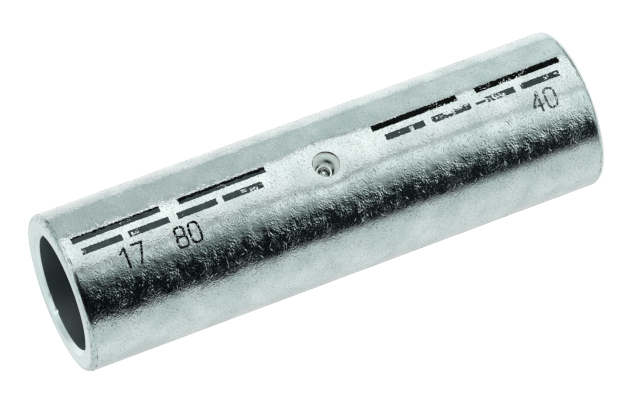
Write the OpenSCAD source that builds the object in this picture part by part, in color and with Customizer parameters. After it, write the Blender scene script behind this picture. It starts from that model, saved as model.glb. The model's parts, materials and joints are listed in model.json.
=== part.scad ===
// Butt splice connector: a straight copper sleeve with a conductor socket at each end.
// A punch at mid-length drives a stop into the bore, so both conductor ends meet it halfway.
// The sleeve stands on one cut end with its axis on Z, and the punch mark faces -Y.

/* [Sleeve] */
// Overall length, from cut end to cut end
sleeve_length = 80; // [50:1:120]
// Diameter of the conductor sockets
socket_diameter = 17; // [12:0.5:30]
// Thickness of the wall around the sockets
wall = 3.25; // [2.5:0.25:6]
// Rounding of the outer edge at each cut end
end_round = 0.8; // [0.2:0.1:1.2]
// Deburring chamfer at each socket mouth
mouth_chamfer = 0.7; // [0.2:0.1:1]

/* [Centre stop] */
// Diameter of the stop at its root in the bore
stop_diameter = 5.5; // [4.5:0.25:7]
// Height of the stop above the land that carries it
stop_height = 1.9; // [1.2:0.1:2.2]
// Plain land left on each side of the stop
land_margin = 0.5; // [0.25:0.25:3]
// How far the land stands in from the sized sockets
land_height = 0.25; // [0.2:0.05:0.5]

/* [Punch mark] */
// Diameter of the punch mark at the outer surface
punch_diameter = 4; // [3.2:0.1:5]
// Diameter of the punch mark at the foot of its taper
taper_foot_diameter = 2.4; // [2:0.1:2.8]
// Diameter of the pilot pocket below the taper
pilot_diameter = 1.7; // [1.2:0.1:1.9]
// Depth of the pilot pocket
pilot_depth = 0.45; // [0.3:0.05:0.8]
// Diameter of the round pip on the pocket's floor
pip_diameter = 0.8; // [0.5:0.1:1.1]
// Copper left between the pocket's floor and the top of the stop
stop_web = 2; // [1.2:0.1:2.6]

/* [Hidden] */
$fn = 96;

// How far a cutting shape reaches past the surface that it opens
overcut = 1;

socket_radius = socket_diameter / 2;
land_radius = socket_radius - land_height;
sleeve_radius = socket_radius + wall;
middle = sleeve_length / 2;

land_length = stop_diameter + 2 * land_margin;
socket_depth = (sleeve_length - land_length) / 2;

// The stop is the cap of a sphere, as wide as the stop's root and as high as the stop
stop_sphere_radius = (pow(stop_diameter / 2, 2) + pow(stop_height, 2)) / (2 * stop_height);
stop_sphere_centre = land_radius - stop_height + stop_sphere_radius;
stop_root_radius = (land_radius + sleeve_radius) / 2;

// Levels of the punch mark, as distances from the sleeve's axis
pocket_floor = land_radius - stop_height + stop_web;
taper_foot = pocket_floor + pilot_depth;

tinned_copper = [0.79, 0.82, 0.81];

// What a rounding takes off a square corner: the corner is at the origin, its metal at -X and +Y
module corner_waste(radius) {
    difference() {
        translate([-radius, -overcut]) square(radius + overcut);
        translate([-radius, radius]) circle(radius);
    }
}

// Half section of one socket, from its mouth at Y = 0: chamfer, wall and sloping shoulder
module socket_section() {
    polygon([
        [0, -overcut],
        [socket_radius + mouth_chamfer + overcut, -overcut],
        [socket_radius, mouth_chamfer],
        [socket_radius, socket_depth - land_height],
        [land_radius, socket_depth],
        [0, socket_depth]
    ]);
}

// Everything that is cut away at one end of the tube, with that end at Y = 0
module end_section() {
    socket_section();
    translate([sleeve_radius, 0]) corner_waste(end_round);
}

// Half section of the finished wall, standing on the lower end
module wall_section() {
    difference() {
        translate([land_radius, 0]) square([sleeve_radius - land_radius, sleeve_length]);
        end_section();
        translate([0, sleeve_length]) mirror([0, 1]) end_section();
    }
}

// Half section of the punch mark: X from the punch's axis, Y from the sleeve's axis
module punch_section() {
    difference() {
        polygon([
            [0, pocket_floor],
            [pilot_diameter / 2, pocket_floor],
            [pilot_diameter / 2, taper_foot],
            [taper_foot_diameter / 2, taper_foot],
            [punch_diameter / 2, sleeve_radius],
            [punch_diameter / 2, sleeve_radius + overcut],
            [0, sleeve_radius + overcut]
        ]);
        translate([0, pocket_floor]) circle(d = pip_diameter);
    }
}

// The tapered mark that the punch leaves, to be cut out of the wall
module punch_mark() {
    translate([0, 0, middle]) rotate([90, 0, 0]) rotate_extrude() punch_section();
}

// The dome that the punch drives into the bore, rooted inside the wall
module stop_dome() {
    intersection() {
        translate([0, -stop_sphere_centre, middle]) sphere(stop_sphere_radius);
        translate([0, 0, middle - stop_diameter]) cylinder(r = stop_root_radius, h = 2 * stop_diameter);
    }
}

// The whole connector: one length of tube, turned at its ends, punched and tinned
module splice_sleeve() {
    color(tinned_copper)
        difference() {
            union() {
                rotate_extrude() wall_section();
                stop_dome();
            }
            punch_mark();
        }
}

splice_sleeve();
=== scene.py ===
"""Looks of a tinned copper butt splice connector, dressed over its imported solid.

Sizes are in millimetres until a mesh is made, which is in metres like the frame.
Angles round the sleeve are counted from its punch mark, which faces -Y, and grow towards +X.
"""

import json
import math

import bpy
import numpy as np
from mathutils import Matrix, Vector, noise


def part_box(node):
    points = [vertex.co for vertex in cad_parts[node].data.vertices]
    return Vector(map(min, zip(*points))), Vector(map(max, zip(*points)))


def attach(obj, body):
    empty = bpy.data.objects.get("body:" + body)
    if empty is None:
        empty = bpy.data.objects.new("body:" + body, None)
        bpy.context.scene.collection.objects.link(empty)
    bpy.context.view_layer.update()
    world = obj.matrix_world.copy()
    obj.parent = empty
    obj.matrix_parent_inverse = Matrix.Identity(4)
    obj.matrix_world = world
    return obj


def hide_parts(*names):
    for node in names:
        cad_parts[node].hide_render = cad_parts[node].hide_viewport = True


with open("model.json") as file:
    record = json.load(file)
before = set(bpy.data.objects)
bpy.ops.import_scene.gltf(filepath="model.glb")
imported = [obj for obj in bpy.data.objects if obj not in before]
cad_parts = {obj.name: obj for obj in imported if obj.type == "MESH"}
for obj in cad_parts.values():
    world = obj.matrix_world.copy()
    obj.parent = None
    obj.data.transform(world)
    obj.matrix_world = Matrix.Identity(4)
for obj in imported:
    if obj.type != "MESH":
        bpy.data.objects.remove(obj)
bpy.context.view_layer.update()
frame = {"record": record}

MM = 0.001

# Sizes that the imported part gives
cad_low, cad_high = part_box("splice_sleeve")
mounts = {mount["name"]: mount for mount in frame["record"]["mounts"]}
sleeve_length = (cad_high.z - cad_low.z) / MM
sleeve_radius = (cad_high.x - cad_low.x) / 2 / MM
socket_radius = mounts["upper_socket"]["dims"]["r_mm"]
middle = sleeve_length / 2

# Sizes that repeat the part's source
end_round = 0.8
mouth_chamfer = 0.7
stop_diameter = 5.5
stop_height = 1.9
land_margin = 0.5
land_height = 0.25
punch_diameter = 4
taper_foot_diameter = 2.4
pilot_diameter = 1.7
pilot_depth = 0.45
pip_diameter = 0.8
stop_web = 2

land_radius = socket_radius - land_height
land_half = stop_diameter / 2 + land_margin
stop_sphere_radius = ((stop_diameter / 2) ** 2 + stop_height**2) / (2 * stop_height)
stop_sphere_centre = land_radius - stop_height + stop_sphere_radius
pocket_floor = land_radius - stop_height + stop_web
taper_foot = pocket_floor + pilot_depth
taper_slope = (sleeve_radius - taper_foot) / (punch_diameter - taper_foot_diameter) * 2

# The drawn skin lies this far inside the solid's surface, so that the ink on it stays in the CAD box
ink_room = 0.02
skin_radius = sleeve_radius - ink_room

# Soft forms of the real skin: sharp edges are broken, and the metal is drawn in round the punch mark
edge_break = 0.12
root_fillet = 0.25
punch_rim_fillet = 0.24
pip_rise = 0.32
pip_flatness = 6
sink_depth = 0.28
sink_reach = 3.2
wave_height = 0.02
wave_length = 9

# Burrs on the inner edge of the upper mouth: angle in degrees and height, and how wide they are
burrs = [(172.2, 0.19), (156.3, 0.08)]
burr_width = 0.3

# Dark dashes at the start of the rounded end edges: their length, how far they reach over the rounding, and
# the level of the noise where one is fully dark
dash_length = 1.3
dash_reach = 0.16
dash_level = 0.3

# Grid of the sleeve's mesh: columns round the axis, rows on the runs of its section and steps on its arcs
columns = 208
outer_rows = 220
face_rows = 6
chamfer_rows = 3
socket_rows = 16
land_side_rows = 1
land_rows = 30
end_steps = 8
mouth_steps = 4
land_steps = 3
arc_step = 2 * math.pi * skin_radius / columns

# Two more rows close to the upper mouth, by share of the socket, keep the burrs on its edge short
burr_rows = [0.012, 0.03]

# Patch of the mesh round the punch mark: its middle on the grid and half its width there
patch_row = outer_rows // 2
front_column = columns // 2
patch_half = 12

# Rings that blend the patch's square border to a circle, and how far outside the mark's rim that circle lies
blend_rings = 8
blend_end = 0.7

# Rings over the rim, by how far they lie outside it
rim_rings = (0.5, 0.35, 0.24, 0.16, 0.1, 0.05, 0, -0.05, -0.1)

# Finishes of the sleeve, by the number of their material
SKIN, EDGE, TURNED, BORE, PUNCHED, BURNISHED = range(6)

# Names of what the mesh carries for the materials
UNROLLED = "unrolled_mm"
# How dark a point is painted: dirt and painted shade in the punch mark, dark dashes on the end edges
DARKENING = "soil"


def smooth_step(low, high, value):
    """0 below low, 1 above high, and a smooth rise between."""
    share = min(max((value - low) / (high - low), 0), 1)
    return share * share * (3 - 2 * share)


def smooth_least(a, b, blend):
    """The smaller of two levels, rounded over where they cross."""
    share = min(max(0.5 + 0.5 * (b - a) / blend, 0), 1)
    return b + (a - b) * share - blend * share * (1 - share)


def corner_arc(before, corner, after, radius, steps):
    """Points of the arc that rounds a corner of a section, from one leg to the other."""
    corner = Vector(corner)
    leg_in = (Vector(before) - corner).normalized()
    leg_out = (Vector(after) - corner).normalized()
    half = leg_in.angle(leg_out) / 2
    centre = corner + (leg_in + leg_out).normalized() * (radius / math.sin(half))
    start = (corner + leg_in * (radius / math.tan(half)) - centre).normalized()
    end = (corner + leg_out * (radius / math.tan(half)) - centre).normalized()
    return [centre + start.slerp(end, step / steps) * radius for step in range(steps + 1)]


def shares(steps):
    """Even shares of a run, from its start."""
    return [step / steps for step in range(steps)]


def wall_section():
    """The wall's closed section, as rows of (radius, height, finish), outer wall first."""
    top = sleeve_length
    land_top = middle + land_half
    land_bottom = middle - land_half
    mouth_radius = socket_radius + mouth_chamfer
    upper_run = [0, *burr_rows, *shares(socket_rows)[1:]]
    # Each corner: place, rounding and its steps, then the run that follows: its shares and finish
    corners = [
        ((skin_radius, 0), end_round, end_steps, shares(outer_rows), SKIN),
        ((skin_radius, top), end_round, end_steps, shares(face_rows), TURNED),
        ((mouth_radius, top), edge_break, mouth_steps, shares(chamfer_rows), TURNED),
        ((socket_radius, top - mouth_chamfer), edge_break, mouth_steps, upper_run, BORE),
        ((socket_radius, land_top + land_height), edge_break, land_steps, shares(land_side_rows), BORE),
        ((land_radius, land_top), edge_break, land_steps, shares(land_rows), BORE),
        ((land_radius, land_bottom), edge_break, land_steps, shares(land_side_rows), BORE),
        ((socket_radius, land_bottom - land_height), edge_break, land_steps, shares(socket_rows), BORE),
        ((socket_radius, mouth_chamfer), edge_break, mouth_steps, shares(chamfer_rows), TURNED),
        ((mouth_radius, 0), edge_break, mouth_steps, shares(face_rows), TURNED),
    ]
    places, roundings, steps, runs, finishes = zip(*corners)
    count = len(corners)
    arcs = []
    for index, place in enumerate(places):
        after = places[(index + 1) % count]
        arcs.append(corner_arc(places[index - 1], place, after, roundings[index], steps[index]))
    rows = []
    for index, run in enumerate(runs):
        following = (index + 1) % count
        start = arcs[index][-1]
        end = arcs[following][0]
        rows.extend((*start.lerp(end, share), finishes[index]) for share in run)
        beside_skin = SKIN in (finishes[index], finishes[following])
        arc_finish = EDGE if beside_skin else finishes[following]
        rows.extend((*point, arc_finish) for point in arcs[following][:-1])
    # Places are kept to a millionth of a millimetre
    digits = 6
    return [(round(radius, digits), round(height, digits), finish) for radius, height, finish in rows]


def on_sleeve(angle, radius, height):
    """The point at an angle round the sleeve, a distance from its axis and a height."""
    return (radius * math.sin(angle), -radius * math.cos(angle), height)


def punch_sink(x, height):
    """The level below 0 to which the skin is drawn in, at x to the side of the punch mark's middle."""
    from_punch = math.hypot(x, height - middle)
    return -sink_depth * math.exp(-((from_punch / sink_reach) ** 2))


def skin_wave(angle, height):
    """The faint unevenness that drawing and tumbling leave in the tube's outside, a level below 0."""
    around = Vector((math.sin(angle), math.cos(angle), 0)) * (skin_radius / wave_length)
    return wave_height * (noise.noise(around + Vector((0, 0, height / wave_length))) - 1)


def skin_at(angle, height):
    """The outer skin's distance from the sleeve's axis."""
    radius = skin_radius + skin_wave(angle, height)
    if abs(angle) < math.pi / 2:
        radius += punch_sink(skin_radius * math.sin(angle), height)
    return radius


def bore_at(angle, radius, height):
    """The bore's distance from the axis: its wall, or the stop that stands on the land."""
    reach = stop_sphere_radius**2 - (height - middle) ** 2
    reach -= (stop_sphere_centre * math.sin(angle)) ** 2
    if reach <= 0 or abs(angle) > math.pi / 2:
        return radius
    dome = stop_sphere_centre * math.cos(angle) - math.sqrt(reach)
    return smooth_least(radius, dome, root_fillet)


def burr_at(angle, radius, height):
    """How far the burrs on the upper mouth's inner edge are pushed down along the bore."""
    drop = sleeve_length - mouth_chamfer - height
    outward = radius - socket_radius
    total = 0
    for burr_angle, burr_height in burrs:
        aside = (angle - math.radians(burr_angle)) * socket_radius
        total += burr_height * math.exp(-(aside**2 + drop**2 + outward**2) / burr_width**2)
    return total


def dark_dashes_at(angle, height):
    """How dark the dashes are that line the start of the rounded end edges."""
    from_wall = end_round - min(height, sleeve_length - height)
    around = Vector((math.sin(angle), math.cos(angle), 0)) * (skin_radius / dash_length)
    # Each end has dashes of its own
    upper_end = int(height > middle)
    dashed = smooth_step(0, dash_level, noise.noise(around + Vector((0, 0, upper_end))))
    return dashed * math.exp(-((from_wall / dash_reach) ** 2))


# Dirt and painted shade in the punch mark: a smudge of dirt on its wall, and painted shade at the wall's
# foot, in the pocket and as a dark line under the rim. Each: distance from its middle and its spread,
# direction in degrees from the sleeve's lower end towards growing angles and its spread, how dark
punch_dirt_and_shade = [
    # Painted shade at the foot of the wall
    (1.14, 0.14, 124, 27, 1.5),
    (1.24, 0.14, -22, 26, 1.5),
    # A smudge of dirt on the wall
    (1.42, 0.1, 47, 34, 1.2),
    # Painted shade in the pocket
    (0.55, 0.22, 42, 46, 1.5),
    (0.66, 0.2, 131, 30, 1.5),
    (0.7, 0.2, -28, 32, 1.5),
    # A painted shadow line under the rim
    (1.95, 0.1, 62, 36, 0.9),
    (1.95, 0.09, 40, 200, 0.7),
    (1.88, 0.12, 157, 14, 0.5),
]


def dirt_and_shade_at(spot):
    """How dark the punch mark is, where dirty and where painted shade lies, at (x, height) from its middle.
    """
    total = 0
    for distance, spread, direction, swing, darkness in punch_dirt_and_shade:
        toward = Vector((math.sin(math.radians(direction)), -math.cos(math.radians(direction))))
        off = (spot.length - distance) / spread
        turn = math.degrees(spot.angle(toward)) / swing
        total += darkness * math.exp(-(off**2) - turn**2)
    return min(total, 1)


def rim_level(spot):
    """How far the skin lies in front of the sleeve's axis at (x, height) from the punch mark's middle.

    The mark's tapered wall is rounded into it.
    """
    height = middle + spot.y
    wave = skin_wave(math.asin(spot.x / skin_radius), height)
    level = math.sqrt(skin_radius**2 - spot.x**2) + wave + punch_sink(spot.x, height)
    taper = taper_foot + (math.hypot(spot.x, spot.y) - taper_foot_diameter / 2) * taper_slope
    return smooth_least(level, taper, punch_rim_fillet)


def punch_rings():
    """The punch mark below its rim, as rings of (radius, level, finish) that close in on the pip's top.

    A level is a distance in front of the sleeve's axis.
    """
    pilot = pilot_diameter / 2
    pip = pip_diameter / 2
    corners = [
        (punch_diameter / 2, sleeve_radius),
        (taper_foot_diameter / 2, taper_foot),
        (pilot, taper_foot),
        (pilot, pocket_floor),
        (pip, pocket_floor),
    ]
    rim = Vector(corners[0])
    wall_foot = Vector(corners[1])
    first_share = 0.12
    last_share = 0.86
    wall_rings = 10
    wall_step = (last_share - first_share) / (wall_rings - 1)
    rings = [(*rim.lerp(wall_foot, first_share + wall_step * ring), PUNCHED) for ring in range(wall_rings)]
    edge_steps = 3
    edge_finishes = [PUNCHED, BURNISHED, PUNCHED]
    for before, corner, after, finish in zip(corners, corners[1:], corners[2:], edge_finishes):
        arc = corner_arc(before, corner, after, edge_break, edge_steps)
        rings.extend((*point, finish) for point in arc)
    floor_rings = 4
    floor_edge = rings[-1][0]
    for ring in range(1, floor_rings + 1):
        rings.append((floor_edge + (pip - floor_edge) * ring / floor_rings, pocket_floor, PUNCHED))
    pip_rings = 8
    for ring in range(1, pip_rings):
        share = 1 - ring / pip_rings
        rings.append((pip * share, pocket_floor + pip_rise * (1 - share**pip_flatness), BURNISHED))
    return rings


class SleeveMesh:
    """The sleeve's mesh under way: points and their darkness, faces with their unrolled places and finish."""

    def __init__(self):
        self.points = []
        self.soil = []
        self.faces = []
        self.unrolled = []
        self.finishes = []

    def add_point(self, point, soil):
        """Adds a point and gives its number."""
        self.points.append(point)
        self.soil.append(soil)
        return len(self.points) - 1

    def add_face(self, corners, places, finish):
        """Adds a face by the numbers of its corners, with their places on the unrolled section."""
        self.faces.append(corners)
        self.unrolled.extend(places)
        self.finishes.append(finish)

    def add_front_face(self, corners, finish):
        """Adds a face of the patch round the punch mark, unrolled as it is seen from the front."""
        places = []
        for corner in corners:
            x, _, height = self.points[corner]
            places.append((arc_step * front_column + x, height - end_round))
        self.add_face(corners, places, finish)

    def add_ring(self, outer, spots, levels, finish):
        """Adds a ring of the patch inside an outer one, and gives the numbers of its points.

        Its spots are (x, height) from the punch mark's middle.
        """
        inner = []
        for spot, level in zip(spots, levels):
            inner.append(self.add_point((spot.x, -level, middle + spot.y), dirt_and_shade_at(spot)))
        for step in range(len(outer)):
            after = (step + 1) % len(outer)
            self.add_front_face([outer[step], outer[after], inner[after], inner[step]], finish)
        return inner


def in_patch(row, column):
    """Whether a place of the grid is inside the patch round the punch mark."""
    return abs(row - patch_row) < patch_half and abs(column - front_column) < patch_half


def lay_wall(mesh):
    """Carries the wall's section round the axis, and gives the numbers of its points by row and column."""
    rows = wall_section()
    index = {}
    for row, (radius, height, finish) in enumerate(rows):
        for column in range(columns):
            if in_patch(row, column):
                continue
            angle = 2 * math.pi * (column - front_column) / columns
            level = radius
            if finish == BORE:
                level = bore_at(angle, radius, height)
            elif finish in (SKIN, EDGE):
                level = radius - skin_radius + skin_at(angle, height)
            soil = dark_dashes_at(angle, height) if finish == EDGE else 0
            point = on_sleeve(angle, level, height - burr_at(angle, radius, height))
            index[row, column] = mesh.add_point(point, soil)
    low = 0
    for row, (radius, height, finish) in enumerate(rows):
        after = (row + 1) % len(rows)
        high = low + math.hypot(rows[after][0] - radius, rows[after][1] - height)
        for column in range(columns):
            if in_patch(row + 0.5, column + 0.5):
                continue
            beside = (column + 1) % columns
            corners = [index[row, column], index[row, beside], index[after, beside], index[after, column]]
            left = arc_step * column
            right = left + arc_step
            mesh.add_face(corners, [(left, low), (right, low), (right, high), (left, high)], finish)
        low = high
    return index


def lay_punch_mark(mesh, index):
    """Fills the patch round the punch mark: rings from its border on the grid close in on the pip's top."""
    low_row = patch_row - patch_half
    high_row = patch_row + patch_half
    low_column = front_column - patch_half
    high_column = front_column + patch_half
    border = [(low_row, column) for column in range(low_column, high_column)]
    border += [(row, high_column) for row in range(low_row, high_row)]
    border += [(high_row, column) for column in range(high_column, low_column, -1)]
    border += [(row, low_column) for row in range(high_row, low_row, -1)]
    ring = [index[key] for key in border]
    edge = [Vector((mesh.points[point][0], mesh.points[point][2] - middle)) for point in ring]
    spokes = [spot.normalized() for spot in edge]
    rim = punch_diameter / 2
    for blend in range(1, blend_rings + 1):
        share = blend / blend_rings
        spots = [spot.lerp(spoke * (rim + blend_end), share) for spot, spoke in zip(edge, spokes)]
        ring = mesh.add_ring(ring, spots, [rim_level(spot) for spot in spots], SKIN)
    for offset in rim_rings:
        spots = [spoke * (rim + offset) for spoke in spokes]
        finish = SKIN if offset > 0 else PUNCHED
        ring = mesh.add_ring(ring, spots, [rim_level(spot) for spot in spots], finish)
    for radius, level, finish in punch_rings():
        ring = mesh.add_ring(ring, [spoke * radius for spoke in spokes], [level] * len(spokes), finish)
    pip_top = mesh.add_point((0, -pocket_floor - pip_rise, middle), 0)
    for step in range(len(ring)):
        mesh.add_front_face([ring[step], ring[(step + 1) % len(ring)], pip_top], BURNISHED)


def add_mesh(name, points, faces):
    """An object in the scene, from points in millimetres and faces."""
    mesh = bpy.data.meshes.new(name)
    mesh.from_pydata([(x * MM, y * MM, z * MM) for x, y, z in points], [], faces)
    mesh.update()
    piece = bpy.data.objects.new(name, mesh)
    bpy.context.scene.collection.objects.link(piece)
    return piece


def build_sleeve():
    """One closed mesh: the wall's section carried round the axis, with the punch mark let into it."""
    made = SleeveMesh()
    index = lay_wall(made)
    lay_punch_mark(made, index)
    piece = add_mesh("sleeve", made.points, made.faces)
    mesh = piece.data
    layer = mesh.uv_layers.new(name=UNROLLED)
    layer.uv.foreach_set("vector", np.array(made.unrolled, np.float32).ravel())
    mesh.polygons.foreach_set("material_index", np.array(made.finishes, np.int32))
    mesh.attributes.new(DARKENING, "FLOAT", "POINT").data.foreach_set("value", made.soil)
    mesh.shade_smooth()
    mesh.update()
    return piece


# Printing: places are along the sleeve from mid-length towards the lower end, and across it from the punch
# mark's line. The print leans across by a small share of the way along
print_skew = 0.0098

# Film of ink: how far its top stands over the skin, its thickness, and the cells that it is drawn in
film_height = 0.012
film_thickness = 0.018
cell_along = 0.075
cell_across = 0.055

# Die marks: length and width, the line that they lie on, and the places of their middles
long_mark = (13.45, 1.08)
long_line = 2.55
long_places = (-31.2, -15.0, 15.0, 31.35)
short_mark = (6.15, 1.04)
short_line = 0.45
short_places = (-34.2, -27.05, -19.7, -12.65, 12.6, 19.85, 26.85, 34.0)

# The border of a mark is ragged: how wide that is, and how much of its ink is gone
ragged_edge = 0.07
ragged_share = 0.42

# Where the ink has rubbed off, in shares of a mark: from, to, lowest, highest and how much is gone
long_wear = [
    [(0.0, 1.0, 0.9, 1.0, 0.4), (0.5, 0.8, 0.3, 0.7, 0.12)],
    [(0.2, 0.95, 0.9, 1.0, 0.4), (0.45, 0.55, 0.1, 0.6, 0.25)],
    [(0.62, 1.0, 0.0, 0.25, 0.3), (0.64, 0.8, 0.25, 0.8, 0.18), (0.9, 1.0, 0.0, 0.4, 0.32)],
    [(0.06, 0.2, 0.15, 0.8, 0.24), (0.27, 0.58, 0.0, 0.3, 0.34), (0.27, 0.6, 0.3, 0.75, 0.18)],
]
short_wear = [
    [(0.0, 0.08, 0.1, 0.8, 0.3)],
    [(0.06, 0.24, 0.1, 0.85, 0.36)],
    [(0.1, 0.2, 0.2, 0.7, 0.25)],
    [(0.45, 0.6, 0.3, 0.8, 0.5), (0.66, 0.85, 0.0, 0.6, 0.5), (0.9, 1.0, 0.5, 1.0, 0.55)],
    [(0.33, 0.47, 0.35, 0.6, 0.26), (0.61, 0.71, 0.0, 0.8, 0.8)],
    [
        (0.0, 0.4, 0.0, 1.0, 0.24),
        (0.3, 0.8, 0.6, 1.0, 0.72),
        (0.4, 1.0, 0.0, 0.6, 0.2),
        (0.8, 1.0, 0.7, 1.0, 0.5),
    ],
    [
        (0.0, 0.26, 0.0, 0.28, 1.0),
        (0.0, 0.26, 0.62, 1.0, 1.0),
        (0.24, 0.62, 0.0, 1.0, 0.5),
        (0.62, 0.76, 0.0, 0.6, 0.5),
    ],
    [(0.6, 0.72, 0.25, 1.0, 0.4), (0.86, 1.0, 0.3, 0.75, 0.42), (0.0, 0.06, 0.0, 1.0, 0.35)],
]

# Share of each long mark's width, from its side by the short marks, that gets the lighter ink: less ink
# left by the roller, and a painted sheen of reflected light
long_thin_and_sheen = (0.7, 0.5, 0.1, 0)

# Figures: their size, pitch and line, and the needle's dots that draw them
digit_height = 2.9
digit_width = 1.5
digit_pitch = 2.1
digit_line = -2.57
dot_pitch = 0.27
dot_radius = 0.185

# The part's own bore and length, and its depth to the stop: figures, left edge and how much ink is gone
size_numbers = [("17", -32.6, 0.2), ("80", -24.2, 0.2)]
depth_number = ("40", 31.4, 0.34)

# Slices of the noise for the wear, the lighter ink and the dots, so that they don't follow one another
wear_slice = 3.7
thin_and_sheen_slice = 5.3
dot_slice = 8.1


def worn_away(along, across, amount):
    """Whether ink is gone at a place of the print, for an amount of wear from 0 to 1."""
    patch_length = 0.3
    patch_width = 0.2
    contrast = 0.62
    # How fast the finer layers of the noise fade, how much finer each one is, and how many there are
    fade = 0.7
    finer_by = 2.2
    layers = 3
    place = Vector((along / patch_length, across / patch_width, wear_slice))
    return noise.fractal(place, fade, finer_by, layers) * contrast + 0.5 < amount


def bar_cells(centre, line, size, wear):
    """The inked cells of one straight mark."""
    length, width = size
    cells = set()
    for step in range(round(length / cell_along)):
        for rank in range(round(width / cell_across)):
            along = centre - length / 2 + (step + 0.5) * cell_along
            across = line - width / 2 + (rank + 0.5) * cell_across
            share = (step + 0.5) * cell_along / length
            level = (rank + 0.5) * cell_across / width
            margin = min(share, 1 - share) * length, min(level, 1 - level) * width
            ragged = min(margin) < ragged_edge and worn_away(along, across, ragged_share)
            gone = ragged or any(
                start <= share < end and low <= level < high and worn_away(along, across, amount)
                for start, end, low, high, amount in wear
            )
            if not gone:
                cells.add((round(along / cell_along - 0.5), round(across / cell_across - 0.5)))
    return cells


def row_cells(places, line, size, wear):
    """The inked cells of a row of marks."""
    return set().union(*(bar_cells(centre, line, size, worn) for centre, worn in zip(places, wear)))


def thin_and_sheen_cells(cells):
    """Those cells of the long marks that get the lighter ink: less ink, and a painted sheen."""
    uneven_length = 0.7
    uneven_share = 0.4
    thin = set()
    for step, rank in cells:
        along = (step + 0.5) * cell_along
        mark = min(range(len(long_places)), key=lambda number: abs(long_places[number] - along))
        level = 0.5 + ((rank + 0.5) * cell_across - long_line) / long_mark[1]
        unevenness = noise.noise(Vector((along / uneven_length, level, thin_and_sheen_slice)))
        if level < long_thin_and_sheen[mark] * (1 + uneven_share * unevenness):
            thin.add((step, rank))
    return thin


def oval(x, y, half_width, half_height):
    """A closed stroke in a digit's box: an oval with flattened sides."""
    flatness = 0.62
    steps = 32
    stroke = []
    for step in range(steps + 1):
        turn = 2 * math.pi * step / steps
        side = math.copysign(abs(math.cos(turn)) ** flatness, math.cos(turn))
        rise = math.copysign(abs(math.sin(turn)) ** flatness, math.sin(turn))
        stroke.append((x + half_width * side, y + half_height * rise))
    return stroke


# Plain figures drawn with single strokes, in shares of a digit's width and height
digit_strokes = {
    "0": [oval(0.5, 0.5, 0.5, 0.5)],
    "1": [[(0.1, 0.76), (0.6, 1.0), (0.6, 0.0)]],
    "4": [[(0.75, 0.0), (0.75, 1.0), (0.0, 0.3), (1.0, 0.3)]],
    "7": [[(0.0, 1.0), (1.0, 1.0), (0.35, 0.0)]],
    "8": [oval(0.5, 0.76, 0.44, 0.24), oval(0.5, 0.26, 0.5, 0.26)],
}


def stroke_dots(stroke, left):
    """The dots that a marking needle sets along one stroke of a figure."""
    bottom = digit_line - digit_height / 2
    path = [Vector((left + x * digit_width, bottom + y * digit_height)) for x, y in stroke]
    dots = []
    for start, end in zip(path, path[1:]):
        count = max(round((end - start).length / dot_pitch), 1)
        dots.extend(start.lerp(end, step / count) for step in range(count + 1))
    return dots


def number_cells(figures, left, wear):
    """The inked cells of a number, whose left edge is at a place along the print."""
    uneven_size = 0.5
    uneven_share = 0.25
    dots = []
    for place, figure in enumerate(figures):
        for stroke in digit_strokes[figure]:
            dots.extend(stroke_dots(stroke, left + place * digit_pitch))
    reach = math.ceil(dot_radius / min(cell_along, cell_across)) + 1
    cells = set()
    for dot in dots:
        near_step = math.floor(dot.x / cell_along)
        near_rank = math.floor(dot.y / cell_across)
        unevenness = noise.noise(Vector((dot.x / uneven_size, dot.y / uneven_size, dot_slice)))
        spread = dot_radius * (1 + uneven_share * unevenness)
        for step in range(near_step - reach, near_step + reach + 1):
            for rank in range(near_rank - reach, near_rank + reach + 1):
                cell = Vector(((step + 0.5) * cell_along, (rank + 0.5) * cell_across))
                if (cell - dot).length < spread and not worn_away(cell.x, cell.y, wear):
                    cells.add((step, rank))
    return cells


def build_print(name, cells):
    """A thin film of ink on the skin, from its inked cells."""
    points = []
    index = {}

    def corner(step, rank):
        if (step, rank) not in index:
            along = step * cell_along
            angle = (rank * cell_across + print_skew * along) / skin_radius
            height = middle - along
            index[step, rank] = len(points)
            points.append(on_sleeve(angle, skin_at(angle, height) + film_height, height))
        return index[step, rank]

    faces = []
    for step, rank in sorted(cells):
        near = [corner(step, rank), corner(step, rank + 1)]
        far = [corner(step + 1, rank + 1), corner(step + 1, rank)]
        faces.append([*near[::-1], *far[::-1]])
    piece = add_mesh(name, points, faces)
    solidify = piece.modifiers.new("film", "SOLIDIFY")
    solidify.thickness = film_thickness * MM
    solidify.offset = -1
    return piece


# Materials


def srgb(code):
    """A linear colour from an sRGB hex code."""
    channels = [int(code[place : place + 2], 16) / 255 for place in (1, 3, 5)]
    return [c / 12.92 if c <= 0.04045 else ((c + 0.055) / 1.055) ** 2.4 for c in channels] + [1]


def add_node(tree, kind, inputs=None, stops=(), **settings):
    """Adds a node with its settings, and gives each named input a value or a link.

    The stops of a colour ramp are its positions and hex codes.
    """
    node = tree.nodes.new("ShaderNode" + kind)
    for name, value in settings.items():
        setattr(node, name, value)
    for number, (position, code) in enumerate(stops):
        node.color_ramp.elements[number].position = position
        node.color_ramp.elements[number].color = srgb(code)
    for socket, value in (inputs or {}).items():
        if isinstance(value, bpy.types.NodeSocket):
            tree.links.new(value, node.inputs[socket])
        else:
            node.inputs[socket].default_value = value
    return node


def new_material(name):
    """An empty node material, and its tree."""
    material = bpy.data.materials.new(name)
    material.use_nodes = True
    material.node_tree.nodes.clear()
    return material, material.node_tree


def finish_material(material, shader):
    """Links a shader to the material's output."""
    add_node(material.node_tree, "OutputMaterial", {"Surface": shader.outputs["BSDF"]})
    return material


# Pebbly grain of the tumbling barrel: direction in degrees from the sleeve's axis, length and width of a
# pebble's mark. The real grain is finer: it is drawn as coarse as it needs to show
tumbling_grain = [(62, 0.32, 0.23), (122, 0.28, 0.23), (15, 0.3, 0.22)]
grain_depth = 0.037

# The grain is weak or strong in patches: the noise levels of both, and their shares of its depth
patch_levels = (0.35, 0.65)
patch_shares = (0.25, 1.5)

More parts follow.
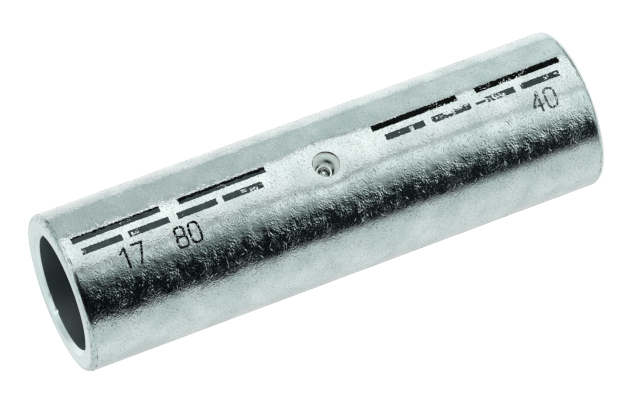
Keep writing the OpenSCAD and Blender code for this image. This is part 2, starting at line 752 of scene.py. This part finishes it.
# Scratches of the tumbling barrel: direction in degrees from the sleeve's axis, length, width, depth and the
# share of places that have one
tumbling_scratches = [
    (90, 1.3, 0.15, 0.024, 0.025),
    (74, 1.2, 0.14, 0.024, 0.025),
    (105, 1.1, 0.15, 0.024, 0.025),
    (57, 0.8, 0.13, 0.022, 0.025),
    (128, 0.8, 0.13, 0.022, 0.025),
    (12, 0.8, 0.13, 0.022, 0.01),
    (117, 1.2, 0.26, 0.025, 0.05),
    (103, 1.1, 0.26, 0.025, 0.05),
    (125, 0.9, 0.24, 0.024, 0.04),
    (42, 0.9, 0.24, 0.024, 0.03),
]

# Strips along the sleeve that were rubbed smoother, the second one for the print: from, to and the width of
# the fade beside them, in millimetres round the sleeve from the punch mark
rubbed_strips = [(-24, -9.2, 1.7), (-5, 12, 2.2)]

# What is left on them: shares of the grain by the lower and the upper end, the shares of the sleeve's length
# between which one becomes the other, and the share of the scratches
rubbed_grain = (0.2, 0.4)
rubbed_between = (0.4, 0.8)
rubbed_scratches = 0.95


def tumbling_left(tree, place):
    """How much of the grain and of the scratches is left at a place of the unrolled skin."""
    split = add_node(tree, "SeparateXYZ", {0: place})
    around = split.outputs["X"]
    along = split.outputs["Y"]
    punch_line = math.pi * skin_radius
    tumbled = 1
    for low, high, fade in rubbed_strips:
        start = punch_line + low
        end = punch_line + high
        fall = {"Value": around, "From Min": start - fade, "From Max": start, "To Min": 1, "To Max": 0}
        rise = {"Value": around, "From Min": end, "From Max": end + fade, "To Min": 0, "To Max": 1}
        below = add_node(tree, "MapRange", fall).outputs[0]
        above = add_node(tree, "MapRange", rise).outputs[0]
        outside = add_node(tree, "Math", {0: below, 1: above}, operation="MAXIMUM").outputs[0]
        tumbled = add_node(tree, "Math", {0: tumbled, 1: outside}, operation="MINIMUM").outputs[0]
    change = {
        "Value": along,
        "From Min": rubbed_between[0] * sleeve_length,
        "From Max": rubbed_between[1] * sleeve_length,
        "To Min": rubbed_grain[0],
        "To Max": rubbed_grain[1],
    }
    least_grain = add_node(tree, "MapRange", change).outputs[0]
    grain_left = add_node(tree, "MapRange", {"Value": tumbled, "To Min": least_grain, "To Max": 1})
    scratches_left = add_node(tree, "MapRange", {"Value": tumbled, "To Min": rubbed_scratches, "To Max": 1})
    return grain_left.outputs[0], scratches_left.outputs[0]


def tumbling_relief(tree, place, patch, grain_left, scratches_left):
    """The tumbled skin's height in millimetres: its grain, with the scratches cut into it."""
    strength = {
        "Value": patch,
        "From Min": patch_levels[0],
        "From Max": patch_levels[1],
        "To Min": patch_shares[0] * grain_depth,
        "To Max": patch_shares[1] * grain_depth,
    }
    strong = add_node(tree, "MapRange", strength).outputs[0]
    kept = add_node(tree, "Math", {0: strong, 1: grain_left}, operation="MULTIPLY").outputs[0]
    relief = 0
    # Each direction is moved by its own angle too, so that no two of them are alike
    for turn, length, width in tumbling_grain:
        lie = {
            "Vector": place,
            "Location": (turn, 0, 0),
            "Rotation": (0, 0, math.radians(turn - 90)),
            "Scale": (length, width, 1),
        }
        turned = add_node(tree, "Mapping", lie, vector_type="TEXTURE").outputs[0]
        pebbles = {"Vector": turned, "Scale": 1, "Detail": 0.4, "Roughness": 0.5}
        grain = add_node(tree, "TexNoise", pebbles).outputs["Fac"]
        raised = add_node(tree, "Math", {0: grain, 1: kept, 2: relief}, operation="MULTIPLY_ADD")
        relief = raised.outputs[0]
    # A scratch fills the middle half of its cell, so the cells are twice as long and as wide
    groove_bottom = 0.02
    groove_edge = 0.25
    for turn, length, width, depth, share in tumbling_scratches:
        lie = {
            "Vector": place,
            "Location": (turn, length, 0),
            "Rotation": (0, 0, math.radians(turn - 90)),
            "Scale": (2 * length, 2 * width, 1),
        }
        turned = add_node(tree, "Mapping", lie, vector_type="TEXTURE").outputs[0]
        spread = {"Vector": turned, "Scale": 1, "Randomness": 1}
        cells = add_node(tree, "TexVoronoi", spread, voronoi_dimensions="2D")
        section = {
            "Value": cells.outputs["Distance"],
            "From Min": groove_bottom,
            "From Max": groove_edge,
            "To Min": -depth,
            "To Max": 0,
        }
        groove = add_node(tree, "MapRange", section, interpolation_type="SMOOTHSTEP").outputs[0]
        draw = add_node(tree, "SeparateColor", {0: cells.outputs["Color"]}).outputs["Red"]
        chosen = add_node(tree, "Math", {0: draw, 1: share}, operation="LESS_THAN").outputs[0]
        cut = add_node(tree, "Math", {0: groove, 1: chosen}, operation="MULTIPLY").outputs[0]
        lowered = add_node(tree, "Math", {0: cut, 1: scratches_left, 2: relief}, operation="MULTIPLY_ADD")
        relief = lowered.outputs[0]
    return relief


def tumbled_tin():
    """Tin plated on copper, then tumbled: a bright grey metal with a pebbly grain, matt specks and scratches.

    Reflections keep their edges but break up into specks and strokes. They are smoother on the rubbed strips.
    """
    material, tree = new_material("tumbled_tin")
    place = add_node(tree, "UVMap", uv_map=UNROLLED).outputs["UV"]
    grain_left, scratches_left = tumbling_left(tree, place)
    patch_size = 2.2
    patches = {"Vector": place, "Scale": 1 / patch_size, "Detail": 2, "Roughness": 0.5}
    patch = add_node(tree, "TexNoise", patches).outputs["Fac"]
    relief = tumbling_relief(tree, place, patch, grain_left, scratches_left)
    bump = add_node(tree, "Bump", {"Height": relief, "Distance": MM, "Strength": 1})
    stain_size = 5
    stains = {"Vector": place, "Scale": 1 / stain_size, "Detail": 3, "Roughness": 0.55}
    stain = add_node(tree, "TexNoise", stains).outputs["Fac"]
    tone = add_node(tree, "ValToRGB", {"Fac": stain}, stops=[(0.3, "#cbe0de"), (0.7, "#e6f6f4")])

    # Some pits hold dirt
    pit_spacing = 1.6
    pit_radius = 0.2
    pit_share = 0.12
    pit_darkness = 0.9
    pits = add_node(tree, "TexVoronoi", {"Vector": place, "Scale": 1 / pit_spacing}, voronoi_dimensions="2D")
    hollow = {
        "Value": pits.outputs["Distance"],
        "From Min": 0,
        "From Max": pit_radius / pit_spacing,
        "To Min": pit_darkness,
        "To Max": 0,
    }
    pit = add_node(tree, "MapRange", hollow).outputs[0]
    draw = add_node(tree, "SeparateColor", {0: pits.outputs["Color"]}).outputs["Red"]
    chosen = add_node(tree, "Math", {0: draw, 1: pit_share}, operation="LESS_THAN").outputs[0]
    dark_pit = add_node(tree, "Math", {0: pit, 1: chosen}, operation="MULTIPLY").outputs[0]

    # Matt specks are dimmer and rougher, and there are more of them where the grain is strong. They start at
    # one level of the noise and are full at another
    matt_size = 0.28
    matt_shift = (40, 40, 0)
    patch_weight = 0.35
    dim_start = 0.6
    rough_start = 0.64
    matt_full = 0.9
    matt_dimness = 0.28
    bright_roughness = 0.1
    matt_roughness = 0.36
    shifted = add_node(tree, "Mapping", {"Vector": place, "Location": matt_shift}).outputs[0]
    specks = {"Vector": shifted, "Scale": 1 / matt_size, "Detail": 1, "Roughness": 0.5}
    matt = add_node(tree, "TexNoise", specks).outputs["Fac"]
    mixed = add_node(tree, "Math", {0: patch, 1: patch_weight, 2: matt}, operation="MULTIPLY_ADD").outputs[0]
    dimming = {
        "Value": mixed,
        "From Min": dim_start,
        "From Max": matt_full,
        "To Min": 0,
        "To Max": matt_dimness,
    }
    roughening = {
        "Value": mixed,
        "From Min": rough_start,
        "From Max": matt_full,
        "To Min": bright_roughness,
        "To Max": matt_roughness,
    }
    dimness = add_node(tree, "MapRange", dimming).outputs[0]
    roughness = add_node(tree, "MapRange", roughening).outputs[0]
    darkest = add_node(tree, "Math", {0: dimness, 1: dark_pit}, operation="MAXIMUM").outputs[0]
    soiled = add_node(tree, "Math", {0: darkest, 1: scratches_left}, operation="MULTIPLY").outputs[0]
    darkening_mix = {"Factor": soiled, "A": tone.outputs["Color"], "B": srgb("#7d8d8b")}
    colour = add_node(tree, "Mix", darkening_mix, data_type="RGBA")
    shader = add_node(
        tree,
        "BsdfPrincipled",
        {
            "Base Color": colour.outputs["Result"],
            "Metallic": 1,
            "Roughness": roughness,
            "Normal": bump.outputs["Normal"],
        },
    )
    return finish_material(material, shader)


def fine_relief(tree, size, depth, detail=2):
    """A fine relief of the plated surface, from marks of a size round the sleeve and along its section.

    Gives the relief's level from 0 to 1, and the normal that it bends.
    """
    place = add_node(tree, "UVMap", uv_map=UNROLLED).outputs["UV"]
    stretched = add_node(tree, "Mapping", {"Vector": place, "Scale": (*size, 1)}, vector_type="TEXTURE")
    marks = {"Vector": stretched.outputs[0], "Scale": 1, "Detail": detail, "Roughness": 0.6}
    level = add_node(tree, "TexNoise", marks).outputs["Fac"]
    bump = add_node(tree, "Bump", {"Height": level, "Distance": depth * MM, "Strength": 1})
    return level, bump.outputs["Normal"]


def knocked_tin():
    """Tin on the rounded end edges, which knock together in the barrel: the same metal, dented.

    It is darker in the dents' hollows, and in dashes along the start of the rounding.
    """
    material, tree = new_material("knocked_tin")
    dent_length = 0.8
    dent_width = 0.26
    dent_depth = 0.02
    dents, normal = fine_relief(tree, (dent_length, dent_width), dent_depth)
    tone = add_node(tree, "ValToRGB", {"Fac": dents}, stops=[(0.36, "#9dadab"), (0.5, "#cfe4e2")])
    # Dark dashes along the start of the rounding are painted into the colour
    soil = add_node(tree, "Attribute", attribute_name=DARKENING)
    darkening_mix = {"Factor": soil.outputs["Fac"], "A": tone.outputs["Color"], "B": srgb("#1a2021")}
    colour = add_node(tree, "Mix", darkening_mix, data_type="RGBA")
    shader = add_node(
        tree,
        "BsdfPrincipled",
        {"Base Color": colour.outputs["Result"], "Metallic": 1, "Roughness": 0.2, "Normal": normal},
    )
    return finish_material(material, shader)


def turned_tin():
    """Tin over a cut and turned end face: fine rings round the axis, smoother and whiter than the skin."""
    material, tree = new_material("turned_tin")
    place = add_node(tree, "UVMap", uv_map=UNROLLED).outputs["UV"]
    ring_spacing = 0.14
    ring_run = 40
    ring_depth = 0.004
    grain_size = 0.3
    ring_size = {"Vector": place, "Scale": (ring_run, ring_spacing, 1)}
    stretched = add_node(tree, "Mapping", ring_size, vector_type="TEXTURE").outputs[0]
    turning = {"Vector": stretched, "Scale": 1, "Detail": 2, "Roughness": 0.5}
    rings = add_node(tree, "TexNoise", turning).outputs["Fac"]
    plating = {"Vector": place, "Scale": 1 / grain_size, "Detail": 2, "Roughness": 0.6}
    grain = add_node(tree, "TexNoise", plating).outputs["Fac"]
    relief = add_node(tree, "Math", {0: rings, 1: grain}, operation="ADD").outputs[0]
    bump = add_node(tree, "Bump", {"Height": relief, "Distance": ring_depth * MM, "Strength": 1})
    tone = add_node(tree, "ValToRGB", {"Fac": rings}, stops=[(0.35, "#daefed"), (0.65, "#ebfdfb")])
    shader = add_node(
        tree,
        "BsdfPrincipled",
        {
            "Base Color": tone.outputs["Color"],
            "Metallic": 1,
            "Roughness": 0.26,
            "Normal": bump.outputs["Normal"],
        },
    )
    return finish_material(material, shader)


def bore_tin():
    """Tin in the drawn bore, where the plating is thin and matt: dull dark grey with faint drawing lines.

    Its dark grey is partly the thin plating's own tone and partly painted shade of the bore.
    """
    material, tree = new_material("bore_tin")
    line_spacing = 0.35
    line_run = 30
    line_depth = 0.0008
    lines, normal = fine_relief(tree, (line_spacing, line_run), line_depth, detail=3)
    # Dark grey: partly the plating's own tone, partly painted shade in the bore
    tone = add_node(tree, "ValToRGB", {"Fac": lines}, stops=[(0.3, "#808f92"), (0.7, "#88989a")])
    shader = add_node(
        tree,
        "BsdfPrincipled",
        {"Base Color": tone.outputs["Color"], "Metallic": 1, "Roughness": 0.55, "Normal": normal},
    )
    return finish_material(material, shader)


def punched_tin():
    """Tin in the punch mark, which the tumbling doesn't reach: as matt and pale as it left the plating bath.

    Its fine crystals scatter the light. It is darker where it is dirty, and painted shade darkens
    its pocket, the foot of its wall and a line under its rim.
    """
    material, tree = new_material("punched_tin")
    crystal_size = 0.35
    crystal_depth = 0.004
    crystals, normal = fine_relief(tree, (crystal_size, crystal_size), crystal_depth)
    tone = add_node(tree, "ValToRGB", {"Fac": crystals}, stops=[(0.3, "#ebf7f5"), (0.7, "#f7fefc")])
    # Dirt and painted shade darken the mark towards near black
    dirt_and_shade = add_node(tree, "Attribute", attribute_name=DARKENING)
    darkening_mix = {"Factor": dirt_and_shade.outputs["Fac"], "A": tone.outputs["Color"], "B": srgb("#050707")}
    colour = add_node(tree, "Mix", darkening_mix, data_type="RGBA")
    shader = add_node(
        tree,
        "BsdfPrincipled",
        {"Base Color": colour.outputs["Result"], "Metallic": 0.35, "Roughness": 0.42, "Normal": normal},
    )
    return finish_material(material, shader)


def burnished_tin():
    """Tin pressed smooth by the punch's tip, on the pip and round the pocket's edge.

    It is a bright clean metal that catches the light.
    """
    material, tree = new_material("burnished_tin")
    grain_size = 0.3
    rubbed_depth = 0.004
    grain, normal = fine_relief(tree, (grain_size, grain_size), rubbed_depth)
    tone = add_node(tree, "ValToRGB", {"Fac": grain}, stops=[(0.3, "#dcedeb"), (0.7, "#eaf8f6")])
    shader = add_node(
        tree,
        "BsdfPrincipled",
        {"Base Color": tone.outputs["Color"], "Metallic": 1, "Roughness": 0.25, "Normal": normal},
    )
    return finish_material(material, shader)


def marking_ink(name, thin_tone, full_tone):
    """Printing ink dried on metal: near black and matt, with a mottle where it is thinner."""
    material, tree = new_material(name)
    place = add_node(tree, "TexCoord").outputs["Object"]
    mottle_size = 1.4
    film_relief = 0.004
    mottling = {"Vector": place, "Scale": 1 / (mottle_size * MM), "Detail": 5, "Roughness": 0.6}
    mottle = add_node(tree, "TexNoise", mottling).outputs["Fac"]
    tone = add_node(tree, "ValToRGB", {"Fac": mottle}, stops=[(0.3, full_tone), (0.75, thin_tone)])
    bump = add_node(tree, "Bump", {"Height": mottle, "Distance": film_relief * MM, "Strength": 1})
    shader = add_node(
        tree,
        "BsdfPrincipled",
        {
            "Base Color": tone.outputs["Color"],
            "Roughness": 0.6,
            "Specular IOR Level": 0.03,
            "Normal": bump.outputs["Normal"],
        },
    )
    return finish_material(material, shader)


sleeve = build_sleeve()
for material in (tumbled_tin(), knocked_tin(), turned_tin(), bore_tin(), punched_tin(), burnished_tin()):
    sleeve.data.materials.append(material)
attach(sleeve, "root")
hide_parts("splice_sleeve")

thick_ink = marking_ink("thick_marking_ink", "#101414", "#020303")
# Lighter ink: thinner ink and a painted sheen of reflected light, also on the short marks and depth number
thin_ink_and_sheen = marking_ink("thin_marking_ink", "#424e4e", "#2a3535")
long_cells = row_cells(long_places, long_line, long_mark, long_wear)
long_thin_and_sheen_cells = thin_and_sheen_cells(long_cells)
prints = [
    ("long_die_marks", long_cells - long_thin_and_sheen_cells, thick_ink),
    ("long_die_marks_thin", long_thin_and_sheen_cells, thin_ink_and_sheen),
    ("short_die_marks", row_cells(short_places, short_line, short_mark, short_wear), thin_ink_and_sheen),
    ("size_numbers", set().union(*(number_cells(*number) for number in size_numbers)), thick_ink),
    ("depth_number", number_cells(*depth_number), thin_ink_and_sheen),
]
for name, cells, ink in prints:
    film = build_print(name, cells)
    film.data.materials.append(ink)
    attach(film, "root")


# Studio


def stage_mesh(name, points, faces):
    """A mesh for the studio; it is only added to the scene like any other."""
    piece = add_mesh(name, points, faces)
    return piece


camera_azimuth = math.radians(-21.71)
camera_elevation = math.radians(15.511)
camera_roll = math.radians(-110.218)
camera_distance = 659.31
camera_lens = 260.47
camera_sensor = 36
camera_shift = (0.00404, -0.01316)


def add_camera():
    """The camera at the photograph's angle: it looks down at the standing sleeve, rolled so that it lies."""
    back = Vector((
        math.sin(camera_azimuth) * math.cos(camera_elevation),
        -math.cos(camera_azimuth) * math.cos(camera_elevation),
        math.sin(camera_elevation),
    ))
    level = Vector((math.cos(camera_azimuth), math.sin(camera_azimuth), 0))
    upward = back.cross(level)
    right = level * math.cos(camera_roll) + upward * math.sin(camera_roll)
    up = upward * math.cos(camera_roll) - level * math.sin(camera_roll)
    data = bpy.data.cameras.new("camera")
    data.sensor_fit = "HORIZONTAL"
    data.sensor_width = camera_sensor
    data.lens = camera_lens
    data.shift_x, data.shift_y = camera_shift
    camera = bpy.data.objects.new("camera", data)
    bpy.context.scene.collection.objects.link(camera)
    place = Vector((0, 0, middle * MM)) + back * (camera_distance * MM)
    camera.matrix_world = Matrix.Translation(place) @ Matrix((right, up, back)).transposed().to_4x4()
    bpy.context.scene.camera = camera


def add_floor():
    """A pale backlit table top, bright enough that the sleeve leaves hardly any shadow on it."""
    half = 4000
    # Just under the sleeve's end face, so that the two don't coincide
    level = -0.02
    points = [(-half, -half, level), (half, -half, level), (half, half, level), (-half, half, level)]
    floor = stage_mesh("floor", points, [(0, 1, 2, 3)])
    material, tree = new_material("opal_table")
    shader = add_node(
        tree,
        "BsdfPrincipled",
        {
            "Base Color": srgb("#f4f4f2"),
            "Roughness": 0.8,
            "Emission Color": srgb("#ffffff"),
            "Emission Strength": 0.5,
        },
    )
    floor.data.materials.append(finish_material(material, shader))
    floor.visible_glossy = False


# Panels of the light tent, by where the camera sees them on the sleeve, in degrees from its near side. Each
# starts where the one before it ends: its edge by the sleeve's lower end and by its upper end, half the width
# of the fade there, and its cloth by the lower end and by the upper end
tent_radius = 250
tent_low = -600
tent_high = 420
tent_brightness = 1.25
tent_panels = [
    (-90, -90, 1, "#d9d6d6", "#d9d6d6"),
    (-84, -84, 5, "#cdcaca", "#cdcaca"),
    (-66, -66, 10, "#d7d4d4", "#d7d4d4"),
    (-42, -42, 10, "#c0c2c2", "#c0c2c2"),
    (-29, -29, 4, "#14181a", "#0a0d0e"),
    (-12.5, 0, 6, "#828d8d", "#828d8d"),
    (-5.5, 7, 6, "#e4e2e2", "#e4e2e2"),
    (8.5, 8.5, 1.6, "#b6b8b8", "#646666"),
    (11.2, 11.2, 1.6, "#e3dede", "#e3dede"),
    (20, 20, 6, "#f8f0f0", "#f8f0f0"),
    (37, 37, 0.6, "#8f9292", "#888b8b"),
    (39, 39, 1.6, "#cfd1d1", "#b2b5b5"),
    (59, 59, 1, "#c0c2c2", "#a6a9a9"),
    (62, 62, 1, "#ebe8e8", "#ddd8d8"),
    (75, 75, 9, "#efe8e8", "#eee8e8"),
    (83, 83, 5, "#d3d1d1", "#d3d1d1"),
]

# The tent's foot is in shade beside the white panel: from and to which angle, the fade there, the heights
# between which the shade fades, and how deep it is
shade_from = 28
shade_to = 60
shade_fade = 5
shade_low = -300
shade_high = -110
shade_depth = 0.6

# Cloth at the middle of the tent's top and bottom, and the shares of its radius between which the panels fade
# to it
top_cloth = "#dfdfdf"
bottom_cloth = "#8a8e8e"
middle_share = 0.3
panel_share = 0.7

# Heights at which the tent shows in the skin of the sleeve's lower and upper ends. The panels' edges lean
# from the one to the other, and on past them to these shares of the way
lean_low = -85
lean_high = 26
least_lean = -1
most_lean = 2.2


def tent_glow(seen, height):
    """The tent's light where the camera sees it at an angle on the sleeve, at a height of the tent."""
    lean = min(max((height - lean_low) / (lean_high - lean_low), least_lean), most_lean)
    level = min(max(lean, 0), 1)
    glow = Vector((0, 0, 0))
    for low_edge, high_edge, fade, low_cloth, high_cloth in tent_panels:
        edge = low_edge + (high_edge - low_edge) * lean
        cloth = Vector(srgb(low_cloth)[:3]).lerp(Vector(srgb(high_cloth)[:3]), level)
        glow = glow.lerp(cloth, smooth_step(edge - fade, edge + fade, seen))
    beside = smooth_step(shade_from - shade_fade, shade_from + shade_fade, seen)
    beside -= smooth_step(shade_to - shade_fade, shade_to + shade_fade, seen)
    return glow * (1 - shade_depth * beside * (1 - smooth_step(shade_low, shade_high, height)))


def add_tent():
    """A round tent of soft panels, seen only in the metal: it gives the sleeve bands of light and dark."""
    turns = 720
    wall_levels = 84
    cap_shares = (0.84, 0.7, 0.58, 0.48, 0.38, 0.3, 0.15)
    # Rings from the bottom's middle up the wall to the top's: share of the radius, height, middle's cloth
    rings = [(share, tent_low, bottom_cloth) for share in reversed(cap_shares)]
    for level in range(wall_levels + 1):
        rings.append((1, tent_low + (tent_high - tent_low) * level / wall_levels, top_cloth))
    rings += [(share, tent_high, top_cloth) for share in cap_shares]
    points = []
    glows = []
    for share, height, cloth in rings:
        panels = smooth_step(middle_share, panel_share, share)
        for turn in range(turns):
            # A place that the camera sees at one angle on the sleeve is at twice that angle round the tent
            seen = (turn - turns / 2) / turns * 180
            angle = camera_azimuth + 2 * math.radians(seen)
            points.append(on_sleeve(angle, tent_radius * share, height))
            glows.append([*Vector(srgb(cloth)[:3]).lerp(tent_glow(seen, height), panels), 1])
    faces = []
    for ring in range(len(rings) - 1):
        low = ring * turns
        high = low + turns
        for turn in range(turns):
            after = (turn + 1) % turns
            faces.append((low + turn, low + after, high + after, high + turn))
    for ring, height, cloth in ((0, tent_low, bottom_cloth), (len(rings) - 1, tent_high, top_cloth)):
        cap_middle = len(points)
        points.append((0, 0, height))
        glows.append(srgb(cloth))
        start = ring * turns
        faces.extend((start + turn, start + (turn + 1) % turns, cap_middle) for turn in range(turns))
    tent = stage_mesh("light_tent", points, faces)
    layer = tent.data.attributes.new("glow", "FLOAT_COLOR", "POINT")
    layer.data.foreach_set("color", np.array(glows, np.float32).ravel())
    material, tree = new_material("tent_light")
    glow = add_node(tree, "Attribute", attribute_name="glow")
    light = add_node(tree, "Emission", {"Color": glow.outputs["Color"], "Strength": tent_brightness})
    add_node(tree, "OutputMaterial", {"Surface": light.outputs["Emission"]})
    tent.data.materials.append(material)
    tent.visible_camera = False
    tent.visible_diffuse = False
    tent.visible_shadow = False
    tent.visible_transmission = False


def add_world():
    """Even white light from all round."""
    world = bpy.data.worlds.new("white_room")
    world.use_nodes = True
    world.node_tree.nodes.clear()
    light = add_node(world.node_tree, "Background", {"Color": srgb("#ffffff"), "Strength": 1})
    add_node(world.node_tree, "OutputWorld", {"Surface": light.outputs["Background"]})
    bpy.context.scene.world = world


add_camera()
add_floor()
add_tent()
add_world()
bpy.context.scene.view_settings.view_transform = "Standard"
# A pixel filter a little narrower than usual keeps the fine scratches crisp
bpy.context.scene.cycles.filter_width = 1.25
